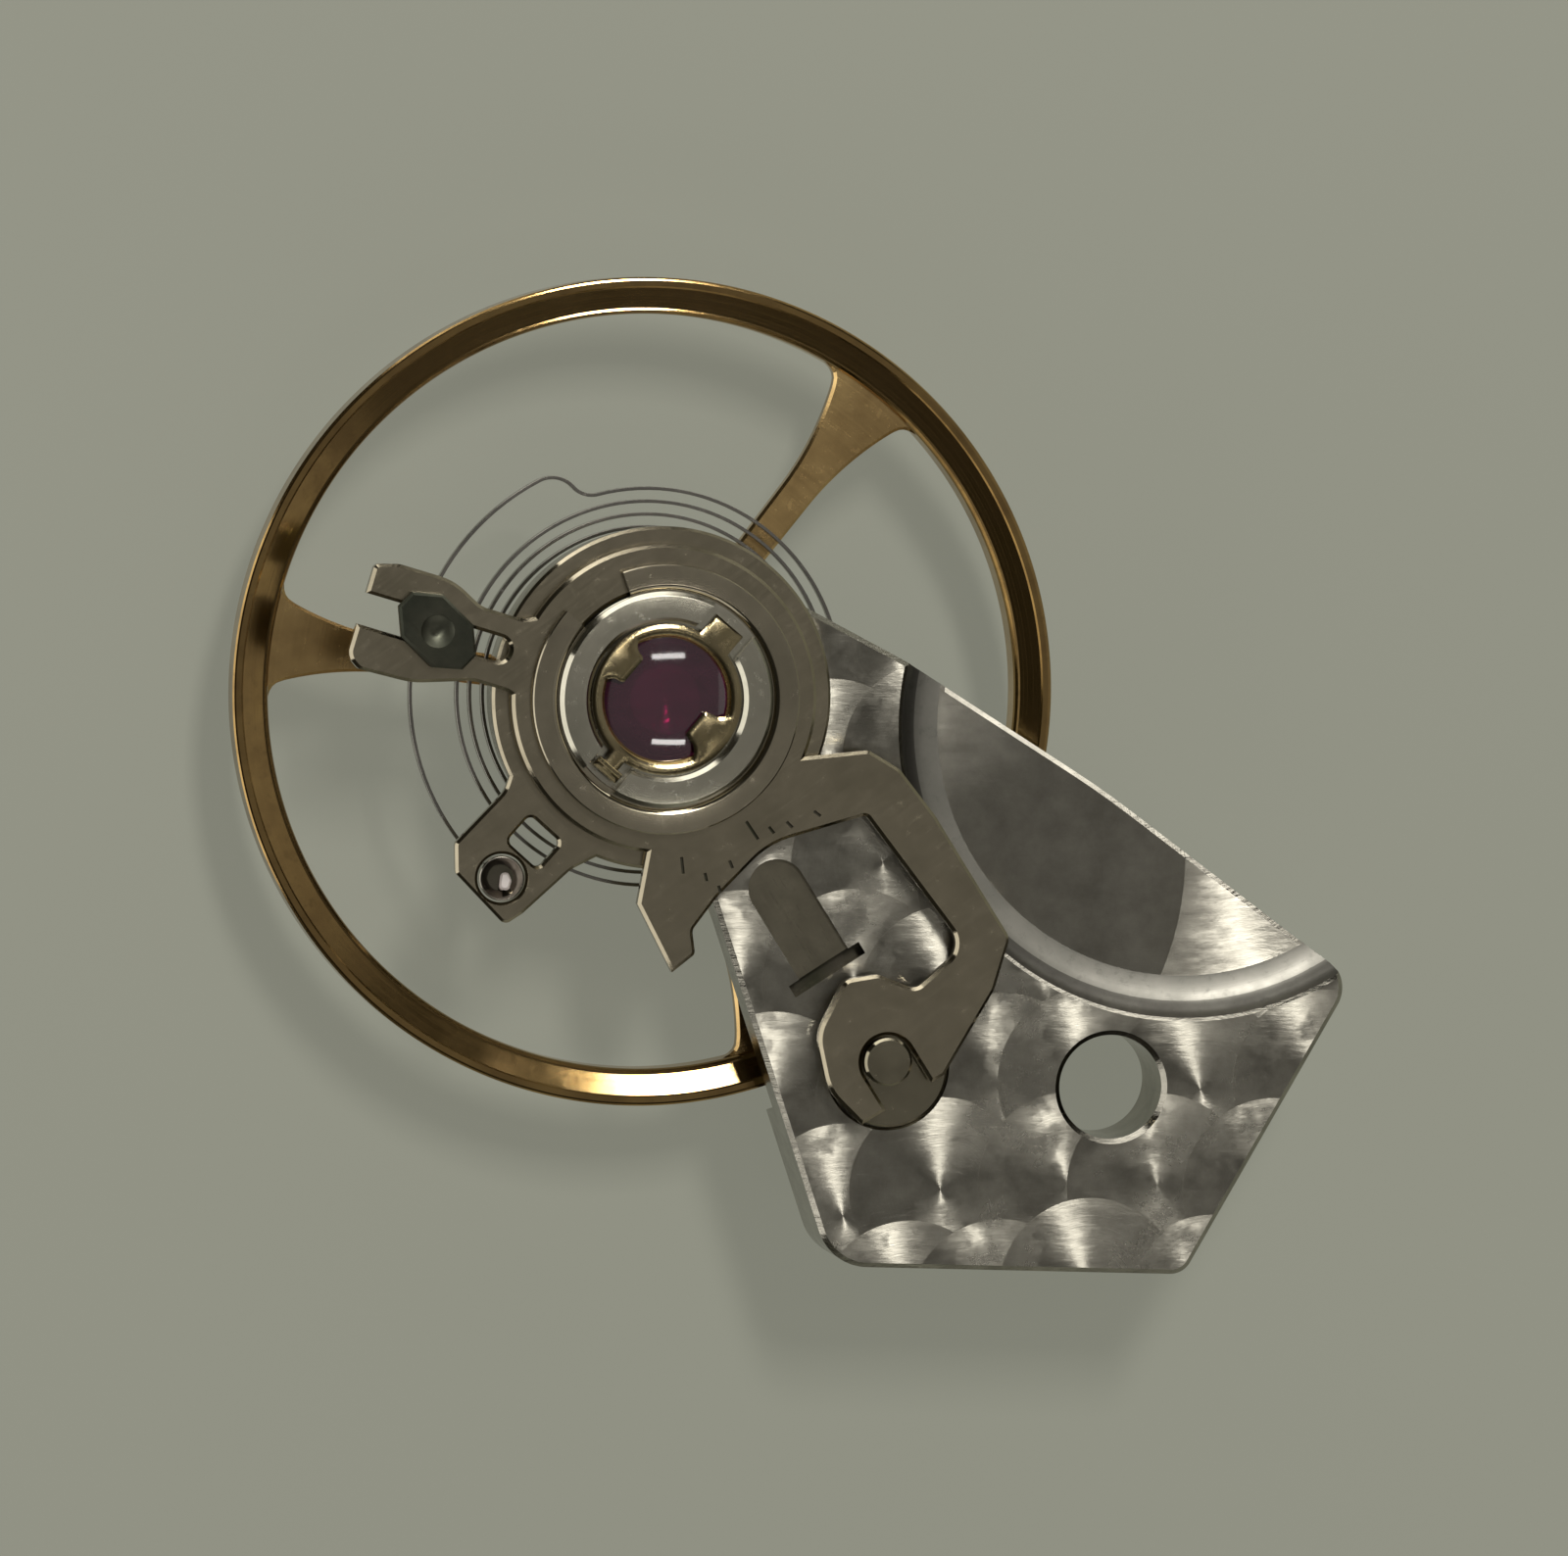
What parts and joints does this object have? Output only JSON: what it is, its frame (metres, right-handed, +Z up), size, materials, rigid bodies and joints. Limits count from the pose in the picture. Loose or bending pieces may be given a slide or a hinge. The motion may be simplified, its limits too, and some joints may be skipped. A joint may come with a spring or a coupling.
{
  "type": "watch balance wheel with cock",
  "caption": "Watch balance wheel with flat hairspring, turning in a shock setting in its cock, with a regulator, an eccentric adjuster and a stud carrier.",
  "frame": {"origin": "tip of the balance staff's lower pivot, on the staff's axis", "axes": "+Z up the balance staff from the lower pivot to the cock, +X to the right and +Y to the top of the view from above in which the cock's foot lies at the lower right"},
  "size_m": [0.0134, 0.0121, 0.0031],
  "materials": {
    "plated_bridge": "bright plated, circular grained, polished bevels",
    "polished_steel": "flat polished steel",
    "setting_steel": "satin turned steel",
    "gilt_spring": "gilt, thin",
    "ruby": "polished ruby",
    "gold_alloy": "bright gold-coloured alloy",
    "turned_steel": "turned and burnished",
    "dark_steel": "blackened",
    "pin_brass": "drawn pins",
    "stud_steel": "bright turned",
    "spring_alloy": "rolled strip"
  },
  "bodies": {
    "cock": {"balance_cock": "plated_bridge", "steady_pins": "pin_brass", "shock_block": "setting_steel", "jewel_setting": "gilt_spring", "hole_jewel": "ruby", "cap_jewel": "ruby", "retaining_ring": "polished_steel"},
    "stud_carrier": {"stud_carrier": "polished_steel", "hairspring_stud": "stud_steel"},
    "balance": {"balance_wheel": "gold_alloy", "balance_staff": "turned_steel", "double_roller": "turned_steel", "impulse_jewel": "ruby", "collet": "pin_brass", "hairspring": "spring_alloy"},
    "eccentric": {"eccentric_screw": "polished_steel"},
    "regulator": {"regulator_index": "polished_steel"},
    "curb_pin": {"curb_pin_block": "dark_steel", "curb_pins": "pin_brass"},
    "lyre": {"lyre_spring": "gilt_spring"}
  },
  "joints": [
    {"name": "stud_carrier_turn", "type": "hinge", "parent": "cock", "child": "stud_carrier", "pos_m": [0, 0, 0], "axis": [0, 0, 1], "range_deg": [-10, 10]},
    {"name": "balance_swing", "type": "hinge", "parent": "stud_carrier", "child": "balance", "pos_m": [0, 0, 0], "axis": [0, 0, 1], "range_deg": [-300, 300], "stiffness_Nm_per_rad": 0.00000084, "deforming": ["hairspring"]},
    {"name": "eccentric_turn", "type": "hinge", "parent": "cock", "child": "eccentric", "pos_m": [0.00277, -0.00448, 0.00255], "axis": [0, 0, 1], "range_deg": [-60, 60]},
    {"name": "regulator_turn", "type": "hinge", "parent": "cock", "child": "regulator", "pos_m": [0, 0, 0], "axis": [0, 0, 1], "range_deg": [-1.16, 1.16]},
    {"name": "curb_pin_turn", "type": "hinge", "parent": "regulator", "child": "curb_pin", "pos_m": [-0.00275, 0.00084, 0.00292], "axis": [0, 0, 1], "range_deg": [-40, 40]},
    {"name": "lyre_spring_lift", "type": "hinge", "parent": "cock", "child": "lyre", "pos_m": [-0.0007, -0.0008, 0.00305], "axis": [0.7547, -0.6561, 0], "range_deg": [0, 100]}
  ],
  "couplings": [
    {"joint": "regulator_turn", "follows": "eccentric_turn", "ratio": -0.01927}
  ]
}
